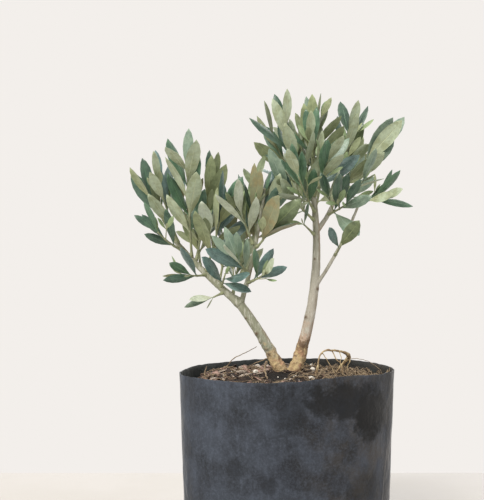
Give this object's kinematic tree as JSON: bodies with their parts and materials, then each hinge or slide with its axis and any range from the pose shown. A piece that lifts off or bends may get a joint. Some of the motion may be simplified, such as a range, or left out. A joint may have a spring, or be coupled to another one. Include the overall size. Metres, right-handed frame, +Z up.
{
  "type": "potted olive tree",
  "caption": "Young olive tree: slender stems rise from one root out of bark compost in a soft black nursery bag and carry open crowns of narrow grey-green leaves.",
  "frame": {"origin": "centre of the bag's flat underside", "axes": "+Z up along the plant; -Y is the side the picture shows, with the two stems side by side along X"},
  "size_m": [0.1866, 0.123, 0.3121],
  "materials": {
    "bag_film": "black polyethylene film, soft sheen, dusty and creased",
    "compost": "moist bark compost with chips, fibres and pale perlite grains",
    "bark": "smooth grey-green young bark, tan at the foot",
    "root": "dry pale brown surface root",
    "foliage": "leathery olive leaves, blue-green above and pale olive below, on thin green twigs"
  },
  "bodies": {
    "root": {"nursery_bag": "bag_film", "potting_soil": "compost", "surface_root_arch": "root", "surface_root_dry": "root", "trunk_right": "bark", "trunk_left": "bark", "bough_left_outer": "bark", "bough_left_inner": "bark", "bough_right_side": "bark", "bough_right_inner": "bark", "left_upright": "foliage", "left_end_low": "foliage", "left_end_high": "foliage", "left_low": "foliage", "left_upright_rear": "foliage", "left_middle": "foliage", "left_under": "foliage", "left_drop": "foliage", "left_fork": "foliage", "inner_left": "foliage", "inner_top_left": "foliage", "inner_top_right": "foliage", "inner_right": "foliage", "inner_low_right": "foliage", "inner_low_left": "foliage", "right_up": "foliage", "right_up_left": "foliage", "right_left": "foliage", "right_left_low": "foliage", "right_front": "foliage", "right_high": "foliage", "right_far": "foliage", "right_mid": "foliage", "right_lower_front": "foliage", "side_end": "foliage", "side_low": "foliage", "left_rear_outer": "foliage", "left_rear_fork": "foliage", "inner_rear": "foliage", "right_rear_left": "foliage", "right_rear": "foliage", "right_front_left": "foliage", "right_rear_right": "foliage", "left_fork_front": "foliage", "right_under_left": "foliage"}
  },
  "joints": []
}
